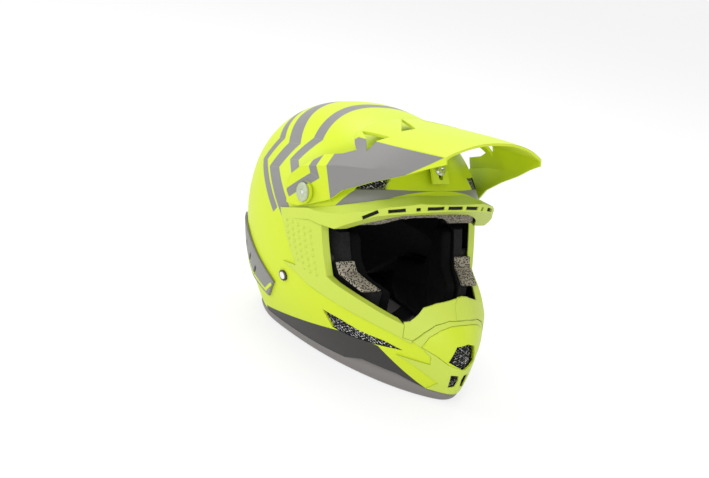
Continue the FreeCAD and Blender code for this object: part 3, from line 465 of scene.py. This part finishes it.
# Painted glints and wear: random patches of the dark wire are painted a bright bare-metal grey.
wear_and_glints = wire.noise(2.6, 3.0).over(0.56, 0.18)
wire.feed(Base_Color=wire.mix(wear_and_glints, (0.03, 0.03, 0.032, 1), (0.62, 0.61, 0.6, 1)),
          Roughness=0.5 - wear_and_glints * 0.18, Normal=wire.relief(wire.noise(0.7), 0.03))
for node, outline, surface, sides in (("chin_vent_grille", CHIN_VENT, on_front, (1,)),
                                      ("lower_vent_grilles", LOWER_VENT, on_front, (1, -1)),
                                      ("side_vent_grille_left", SIDE_VENT, on_left, (1,)),
                                      ("side_vent_grille_right", SIDE_VENT, on_left, (-1,)),
                                      ("brow_vent_grille_left", BROW_VENT, on_front, (1,)),
                                      ("brow_vent_grille_right", BROW_VENT, on_front, (-1,)),
                                      ("rear_vent_grilles", REAR_VENT, on_back, (1, -1))):
    meshed = drawn_wire(vent_grid(outline, surface, sides, MESH_DEPTH))
    piece(node + "_mesh", meshed, wire, "helmet", [node], 60.0)
    backing = thickened_sheet(vent_grid(outline, surface, sides, FILTER_DEPTH))
    piece(node + "_filter", backing, foam, "helmet", (), 60.0)

# --- Brow slot shade (painted shade) --------------------------------------------------------------
# A black strip behind the air slots of the brow is painted shade: it makes the slots look dark, as deep
# through-slots do. It follows the brow's plan curve and lies between the slots' mouths and their floor.
BROW_PLAN = [(0, -143), (30, -140.5), (58, -131), (86, -113), (104, -92)]
BROW_LIP = [(-142, 200.5), (-131, 194.5), (-115, 186.5), (-98, 173.5), (-80, 159.5)]
STRIP_INSET = 1.8
STRIP_LEAD = 1.0        # the lip's height is taken this far behind the strip
STRIP_RISE = 5.6        # from the lip to the middle of the slots
STRIP_REACH = 99
STRIP_STEP = 6
STRIP_HEIGHT = 6.8
STRIP_NARROWING = 0.985
slot_shade_strip = bmesh.new()
foot = []
for px in range(-STRIP_REACH, STRIP_REACH + 1, STRIP_STEP):
    py = along(BROW_PLAN, abs(px)) + STRIP_INSET
    low = along(BROW_LIP, py + STRIP_LEAD) + STRIP_RISE - STRIP_HEIGHT / 2
    foot.append(slot_shade_strip.verts.new(Vector((px * STRIP_NARROWING, py, low)) * MM))
edges = [slot_shade_strip.edges.new(pair) for pair in zip(foot, foot[1:])]
raised = bmesh.ops.extrude_edge_only(slot_shade_strip, edges=edges)["geom"]
bmesh.ops.translate(slot_shade_strip, vec=(0, 0, STRIP_HEIGHT * MM),
                    verts=[g for g in raised if isinstance(g, bmesh.types.BMVert)])
# Painted shade: a black sheet in the bead foam's colour, behind the brow slots.
piece("brow_slot_shade", thickened_sheet(slot_shade_strip), foam, "helmet", (), 60.0)

# --- Rear panels ----------------------------------------------------------------------------------
# Grey covers over the rear exhausts, low on each side, with three slanted slots and a lime flash
# sprayed along the lower edge.
panel_cover = Paint("panel_cover", Specular_IOR_Level=LACQUER_GLOSS)
x, y, z = panel_cover.place()
flash = panel_cover.stripe(y, z, [(10, 58), (26, 44), (62, 52), (104, 82)], 1.8)
fine = panel_cover.noise(0.7)
panel_cover.feed(Base_Color=panel_cover.mix(flash, STRIPE_GREY, LIME), Roughness=0.42 + fine * 0.1,
                 Normal=panel_cover.relief(fine, 0.02, 0.8))
for node in ("rear_panel_left", "rear_panel_right"):
    dressed(node, panel_cover)

# --- Sewn lining ----------------------------------------------------------------------------------
# Crown pad, cheek pads, neck roll and brow pad: soft foam in a black brushed knit, sewn through in
# channels, so that each field swells between its seams. Their front edges are faced with a coarse
# grey-tan spacer mesh.
# Both shades of the knit are darker than black cloth: partly its own black, partly painted shade for the
# inside of the helmet.
KNIT_WITH_SHADE = (0.0035, 0.0035, 0.0038, 1)
VOXEL = 3.2
SHRINK = 1.6
SWELL_LIMIT = 2.6
SEAM_WIDTH = 2.6
FAR = 99.0              # the gap to a seam where there is none
SWELL_FRAMES = 12

MESH_HOLE = (0.012, 0.011, 0.009, 1)
MESH_THREAD = (0.33, 0.295, 0.235, 1)
FACING_INNER = 58       # the facing's reach sideways, from here outwards
FACING_OUTER = 99

knit = Paint("black_knit_with_shade", Roughness=0.9, Specular_IOR_Level=0.1)
loops = knit.cells(1.7)
knit.feed(Base_Color=knit.mix(loops.over(0.45, 0.3), KNIT_WITH_SHADE, (0.0022, 0.0022, 0.0023, 1)),
          Normal=knit.relief(loops * -1.0, 0.3))
spacer_mesh = Paint("spacer_mesh", Roughness=0.85, Specular_IOR_Level=0.2)
thread = spacer_mesh.cells(2.3, randomness=0.8).over(0.42, 0.16)
spacer_mesh.feed(Base_Color=spacer_mesh.mix(thread, MESH_HOLE, MESH_THREAD),
                 Normal=spacer_mesh.relief(thread, 0.6))


def settle(source):
    """The mesh of an object after its modifiers."""
    bpy.context.view_layer.update()
    evaluated = source.evaluated_get(bpy.context.evaluated_depsgraph_get())
    return bpy.data.meshes.new_from_object(evaluated)


def swollen(mesh, pinned):
    """Blows a closed mesh up like a pad, with its seam points held; returns the new places."""
    blank = bpy.data.objects.new("swelling", mesh)
    bpy.context.scene.collection.objects.link(blank)
    blank.vertex_groups.new(name="seam").add(pinned, 1.0, "REPLACE")
    cloth = blank.modifiers.new("cloth", "CLOTH")
    cloth.settings.quality = 4
    cloth.settings.mass = 0.2
    cloth.settings.tension_stiffness = 12
    cloth.settings.compression_stiffness = 12
    cloth.settings.bending_stiffness = 0.4
    cloth.settings.vertex_group_mass = "seam"
    cloth.settings.use_pressure = True
    cloth.settings.uniform_pressure_force = 4
    cloth.settings.effector_weights.gravity = 0
    cloth.collision_settings.use_collision = False
    cloth.point_cache.frame_end = SWELL_FRAMES
    for step in range(1, SWELL_FRAMES + 1):
        bpy.context.scene.frame_set(step)
    result = settle(blank)
    places = [v.co.copy() for v in result.vertices]
    bpy.data.objects.remove(blank)
    bpy.context.scene.frame_set(1)
    return places


def sewn(node, seams, paint, voxel=VOXEL, rounds=6, shrink=SHRINK, rough=None):
    """A stuffed pad in the space of a frame node; seams are planes as (point, direction)."""
    rough = rough or bare_mesh(node)
    data = bpy.data.meshes.new("rough")
    rough.to_mesh(data)
    rough.free()
    blank = bpy.data.objects.new("rough", data)
    bpy.context.scene.collection.objects.link(blank)
    remesh = blank.modifiers.new("remesh", "REMESH")
    remesh.mode = "VOXEL"
    remesh.voxel_size = voxel * MM
    blocked = settle(blank)
    bpy.data.objects.remove(blank)
    mesh = bmesh.new()
    mesh.from_mesh(blocked)
    for _ in range(rounds):
        bmesh.ops.smooth_vert(mesh, verts=mesh.verts, factor=0.5,
                              use_axis_x=True, use_axis_y=True, use_axis_z=True)
    mesh.normal_update()
    normals = [v.normal.copy() for v in mesh.verts]
    start = [v.co.copy() for v in mesh.verts]
    pinned = []
    planes = [(Vector(point), Vector(way).normalized()) for point, way in seams]
    for vert in mesh.verts:
        gap = min((abs((vert.co / MM - point).dot(way)) for point, way in planes), default=FAR)
        if gap < SEAM_WIDTH * 0.6:
            pinned.append(vert.index)
        sink = shrink * (1.0 + 0.5 * math.exp(-(gap / SEAM_WIDTH) ** 2))
        vert.co -= vert.normal * sink * MM
    base = bpy.data.meshes.new("base")
    mesh.to_mesh(base)
    for vert, place in zip(mesh.verts, swollen(base, pinned)):
        move = place - vert.co
        if move.length > SWELL_LIMIT * MM:
            move *= SWELL_LIMIT * MM / move.length
        vert.co += move
    for vert, first, normal in zip(mesh.verts, start, normals):
        proud = (vert.co - first).dot(normal)
        if proud > 0:
            vert.co -= normal * proud
    body = frame["nodes"][node]["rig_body"]
    made = piece(node + "_sewn", mesh, paint, body, [node], 180.0)
    smooth = made.modifiers.new("smooth", "SUBSURF")
    smooth.levels = 1
    smooth.render_levels = 1
    return made


CROWN_LENGTHWAYS = 26   # where the channels run, on each side of the middle
CROWN_CROSSWAYS = (-26, 20, 66)
NECK_CHANNEL = 42
BROW_CHANNEL = 30
crown_seams = [((s * CROWN_LENGTHWAYS, 0, 0), (1, 0, 0)) for s in (-1, 1)]
crown_seams += [((0, at, 0), (0, 1, 0.1)) for at in CROWN_CROSSWAYS]
sewn("crown_pad", crown_seams, knit)
sewn("neck_roll", [((s * NECK_CHANNEL, 0, 0), (1, 0.3 * s, 0)) for s in (-1, 1)], knit)
for node, s in (("cheek_pad_left", 1), ("cheek_pad_right", -1)):
    cheek_seams = [((s * 70, -40, 72), (0, 0.25, 1)), ((s * 70, -62, 72), (0, 1, -0.35))]
    sewn(node, cheek_seams, knit)
for node, s in (("cheek_mesh_left", 1), ("cheek_mesh_right", -1)):
    facing = bare_mesh(node)
    inner, outer = (f(abs(v.co.x) for v in facing.verts) for f in (min, max))
    for vert in facing.verts:
        share = (abs(vert.co.x) - inner) / (outer - inner)
        vert.co.x = s * (FACING_INNER + share * (FACING_OUTER - FACING_INNER)) * MM
    sewn(node, [], spacer_mesh, 1.2, 2, 0.2, facing)
brow_seams = [((s * BROW_CHANNEL, 0, 0), (1, 0, 0)) for s in (-1, 1)]
sewn("brow_pad", brow_seams, spacer_mesh, 2.4, 4)

# --- Chin strap -----------------------------------------------------------------------------------
# Black nylon webbing riveted to the shell on steel plates and threaded back through two rings. The
# long side carries a stitched comfort pad. Two short dark red tabs below the cheek pads pull them out.


def woven(name, low, high):
    """Ribbed narrow webbing in two shades of its yarn."""
    webbing = Paint(name, Roughness=0.75, Specular_IOR_Level=0.25)
    x, y, z = webbing.place()
    ribs = (y * (2 * math.pi / 1.7)).wave() * ((x + z * 0.4) * (2 * math.pi / 2.2)).wave()
    return webbing.feed(Base_Color=webbing.mix(ribs.over(0.0, 1.6), low, high),
                        Normal=webbing.relief(ribs, 0.22, 0.4))


black_webbing = woven("black_webbing", (0.008, 0.008, 0.009, 1), (0.024, 0.024, 0.026, 1))
for node in ("chin_strap_left", "chin_strap_right"):
    dressed(node, black_webbing, 35.0)
red_webbing = woven("red_webbing", (0.10, 0.006, 0.006, 1), (0.22, 0.012, 0.012, 1))
for node in ("pull_tab_left", "pull_tab_right"):
    dressed(node, red_webbing, 35.0)
sewn("strap_pad", [], knit, 2.0, 3)

steel = Paint("bright_steel", Metallic=1.0)
brushed = steel.noise(1.2, 4.0)
steel.feed(Base_Color=steel.mix(brushed, (0.62, 0.62, 0.63, 1), (0.72, 0.72, 0.73, 1)),
           Roughness=0.22 + brushed * 0.16, Normal=steel.relief(brushed, 0.01, 0.3))
for node in ("d_rings", "strap_plate_left", "strap_plate_right", "strap_rivet_left", "strap_rivet_right",
             "peak_washer", "peak_screw_centre"):
    dressed(node, steel, 35.0)
for node in ("peak_insert_left", "peak_insert_right", "peak_insert_centre"):
    coated(node, steel)

# --- Rivet plugs ----------------------------------------------------------------------------------
# A white plug in a black rubber ring closes the outside of each strap rivet.
plug_white = grainy(Paint("plug_white"), (0.72, 0.68, 0.68, 1), 0.3, 0.01, 0.8, 0.6)
for side in ("left", "right"):
    dressed("rivet_cap_" + side, plug_white)
    dressed("rivet_ring_" + side, soft_rubber)

# --- Peak -----------------------------------------------------------------------------------------
# One moulded peak in matte yellow-green with air gills. The wings below the shoulder are masked and
# sprayed grey from the tip back to the side arms.
WING = [(-182, 274.5), (-66, 177.8), (-46, 240), (-60, 258.2), (-92, 262.4), (-138, 268.9)]
WING_INSIDE = 45        # the wings lie further out than this, the tongue further in
ARM_STRIPE = [(-22, 240), (-40, 207), (-8, 176)]
peak_paint = Paint("peak_paint", Specular_IOR_Level=LACQUER_GLOSS)
x, y, z = peak_paint.place()
to_x, to_y, to_z = peak_paint.facing()
sides = abs(x).over(WING_INSIDE, EDGE_BLUR) * (to_x * x).over(1.0, 2.0)
wing = (peak_paint.patch(y, z, WING) | peak_paint.stripe(y, z, ARM_STRIPE, 5.0)) * sides
fine = peak_paint.noise(0.7)
peak_paint.feed(Base_Color=peak_paint.mix(wing, LIME, STRIPE_GREY), Roughness=0.42 + fine * 0.1,
                Normal=peak_paint.relief(fine + wing * 1.5, 0.02, 1.0))
dressed("peak", peak_paint, 22.0)
dressed("peak_boss", soft_rubber)

# --- Peak screws ----------------------------------------------------------------------------------
# Large thumb screws of clear plastic with a knurled edge, each moulded round a small steel screw
# with a cross recess.
HEAD_RADIUS = 11.0
HEAD_RISE = 3.0
KNURLS = 18
KNURL_DEPTH = 0.25
SHANK_END = -17.0
STEEL_RADIUS = 2.7
STEEL_TOP = 1.9
STEEL_DOME = 0.25
clear_plastic = Paint("clear_plastic", Transmission_Weight=0.35, Subsurface_Weight=0.2, IOR=1.45)
frost = clear_plastic.noise(3.0, 3.0)
clear_plastic.feed(Base_Color=clear_plastic.mix(frost, (0.54, 0.57, 0.36, 1), (0.64, 0.66, 0.47, 1)),
                   Roughness=0.18 + frost * 0.1, Normal=clear_plastic.relief(frost, 0.02, 0.4))


def turned(profile, steps):
    """Spins an outline of (radius, height) about Z; returns the bmesh, in millimetres."""
    mesh = bmesh.new()
    points = [mesh.verts.new((radius, 0, height)) for radius, height in profile]
    edges = [mesh.edges.new(pair) for pair in zip(points, points[1:])]
    bmesh.ops.spin(mesh, geom=points + edges, cent=(0, 0, 0), axis=(0, 0, 1), angle=2 * math.pi,
                   steps=steps, use_merge=True, use_duplicate=False)
    bmesh.ops.remove_doubles(mesh, verts=mesh.verts, dist=0.001)
    bmesh.ops.recalc_face_normals(mesh, faces=mesh.faces)
    return mesh


def to_side(mesh, node, side):
    """Moves a piece turned about Z onto the side screw's axis, its foot on the peak's boss."""
    low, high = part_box(node)
    foot = high.x - HEAD_RISE * MM if side > 0 else low.x + HEAD_RISE * MM
    place = Matrix.Translation((foot, (low.y + high.y) / 2, (low.z + high.z) / 2))
    mesh.transform(place @ Matrix.Rotation(side * math.pi / 2, 4, "Y") @ Matrix.Scale(MM, 4))
    return mesh


def cross_recess(mesh, size, width, depth, top):
    """Presses a cross into the middle of a turned top by moving the points inside it."""
    for vert in mesh.verts:
        px, py = abs(vert.co.x), abs(vert.co.y)
        if vert.co.z > top - 0.05 and ((px < size and py < width) or (py < size and px < width)):
            vert.co.z -= depth
    return mesh


for side, s in (("left", 1), ("right", -1)):
    node = "peak_screw_" + side
    head = turned([(STEEL_RADIUS, 1.2), (STEEL_RADIUS + 0.3, 2.0), (5.4, 2.6), (6.8, HEAD_RISE),
                   (9.9, HEAD_RISE), (HEAD_RADIUS, 2.2), (HEAD_RADIUS, 0.6), (10.4, 0.0),
                   (3.0, 0.0), (3.0, SHANK_END), (0.0, SHANK_END)], 72)
    for vert in head.verts:
        reach = math.hypot(vert.co.x, vert.co.y)
        if reach > HEAD_RADIUS - 0.4:
            ridge = KNURL_DEPTH * math.cos(KNURLS * math.atan2(vert.co.y, vert.co.x))
            vert.co.x *= (reach - KNURL_DEPTH + ridge) / reach
            vert.co.y *= (reach - KNURL_DEPTH + ridge) / reach
    piece(node + "_head", to_side(head, node, s), clear_plastic, "screw_" + side, [node], 50.0)
    rings = [(r, STEEL_TOP - STEEL_DOME * (r / STEEL_RADIUS) ** 2) for r in (0.0, 0.5, 1.0, 1.5, 2.0, 2.5)]
    core = turned(rings + [(STEEL_RADIUS, 1.3), (STEEL_RADIUS, 0.8)], 48)
    cross_recess(core, 1.8, 0.45, 0.8, 1.7)
    piece(node + "_core", to_side(core, node, s), steel, "screw_" + side, [], 40.0)

# --- Studio ---------------------------------------------------------------------------------------
# A plain pale floor under soft light: a broad key from the upper left, a top light behind, a fill
# from the right, a strip at the back and one low in front. The camera looks down on the right front.
LENS = 63.47
CAMERA_AZIMUTH = -38.74
CAMERA_ELEVATION = 17.51
CAMERA_ROLL = 11.92
CAMERA_DISTANCE = 1.45695
AIM = Vector((-0.03002, -0.01897, 0.12245))
FLOOR_SIZE = 6.0
FLOOR_GREY = (0.9, 0.9, 0.9, 1)
FLOOR_WHITE = 0.75      # the rest of the floor's brightness is lit, and keeps the shadow
SKY_LIGHT = 0.32

azimuth, elevation, roll = (math.radians(a) for a in (CAMERA_AZIMUTH, CAMERA_ELEVATION, CAMERA_ROLL))
level = math.cos(elevation)
back = Vector((math.sin(azimuth) * level, -math.cos(azimuth) * level, math.sin(elevation)))
right = (-back).cross(Vector((0, 0, 1))).normalized()
up = right.cross(-back)
axis_x = right * math.cos(roll) + up * math.sin(roll)
axis_y = up * math.cos(roll) - right * math.sin(roll)
camera = bpy.data.objects.new("camera", bpy.data.cameras.new("camera"))
camera.data.lens = LENS
camera.data.sensor_width = 36
turn = Matrix((axis_x, axis_y, back)).transposed().to_4x4()
camera.matrix_world = Matrix.Translation(AIM + back * CAMERA_DISTANCE) @ turn
bpy.context.scene.collection.objects.link(camera)
bpy.context.scene.camera = camera

floor_mesh = bmesh.new()
bmesh.ops.create_grid(floor_mesh, x_segments=4, y_segments=4, size=FLOOR_SIZE)
floor_data = bpy.data.meshes.new("floor")
floor_mesh.to_mesh(floor_data)
floor_mesh.free()
floor = bpy.data.objects.new("floor", floor_data)
bpy.context.scene.collection.objects.link(floor)
floor_finish = Paint("floor_finish", Roughness=0.9)
floor_finish.shader.inputs["Base Color"].default_value = FLOOR_GREY
floor_data.materials.append(floor_finish.material)

world = bpy.data.worlds.new("studio")
bpy.context.scene.world = world
world.use_nodes = True
sky = next(n for n in world.node_tree.nodes if n.type == "BACKGROUND")
sky.inputs["Color"].default_value = (1, 1, 1, 1)
sky.inputs["Strength"].default_value = SKY_LIGHT


def seen_white(tree, lit, share):
    """Blends a lit surface or sky with plain white, for the rays that show it as a background."""
    rays = tree.nodes.new("ShaderNodeLightPath")
    total = None
    for name in ("Is Camera Ray", "Is Glossy Ray", "Is Transmission Ray"):
        either = tree.nodes.new("ShaderNodeMath")
        either.operation = "MAXIMUM"
        tree.links.new(rays.outputs[name], either.inputs[0])
        if total:
            tree.links.new(total, either.inputs[1])
        total = either.outputs[0]
    scaled = tree.nodes.new("ShaderNodeMath")
    scaled.operation = "MULTIPLY"
    scaled.inputs[1].default_value = share
    tree.links.new(total, scaled.inputs[0])
    white = tree.nodes.new("ShaderNodeEmission")
    blend = tree.nodes.new("ShaderNodeMixShader")
    tree.links.new(scaled.outputs[0], blend.inputs[0])
    tree.links.new(lit.outputs[0], blend.inputs[1])
    tree.links.new(white.outputs[0], blend.inputs[2])
    end = next(n for n in tree.nodes if n.type.startswith("OUTPUT"))
    tree.links.new(blend.outputs[0], end.inputs["Surface"])


seen_white(world.node_tree, sky, 1.0)
seen_white(floor_finish.tree, floor_finish.shader, FLOOR_WHITE)


def softbox(name, place, size, power):
    lamp = bpy.data.lights.new(name, "AREA")
    lamp.shape = "RECTANGLE"
    lamp.size, lamp.size_y = size
    lamp.energy = power
    holder = bpy.data.objects.new(name, lamp)
    holder.location = place
    holder.rotation_mode = "QUATERNION"
    holder.rotation_quaternion = (AIM - Vector(place)).to_track_quat("-Z", "Y")
    bpy.context.scene.collection.objects.link(holder)


softbox("key", (-1.7, -1.2, 1.9), (1.2, 1.0), 17)
softbox("top", (0.5, 0.7, 2.3), (1.7, 1.5), 38)
softbox("fill", (1.6, -1.8, 0.8), (1.2, 1.2), 6)
softbox("strip", (-1.6, 1.3, 1.0), (0.5, 1.4), 16)
softbox("low", (-1.7, -1.9, 0.14), (1.4, 0.3), 14)

bpy.context.scene.view_settings.view_transform = "Standard"
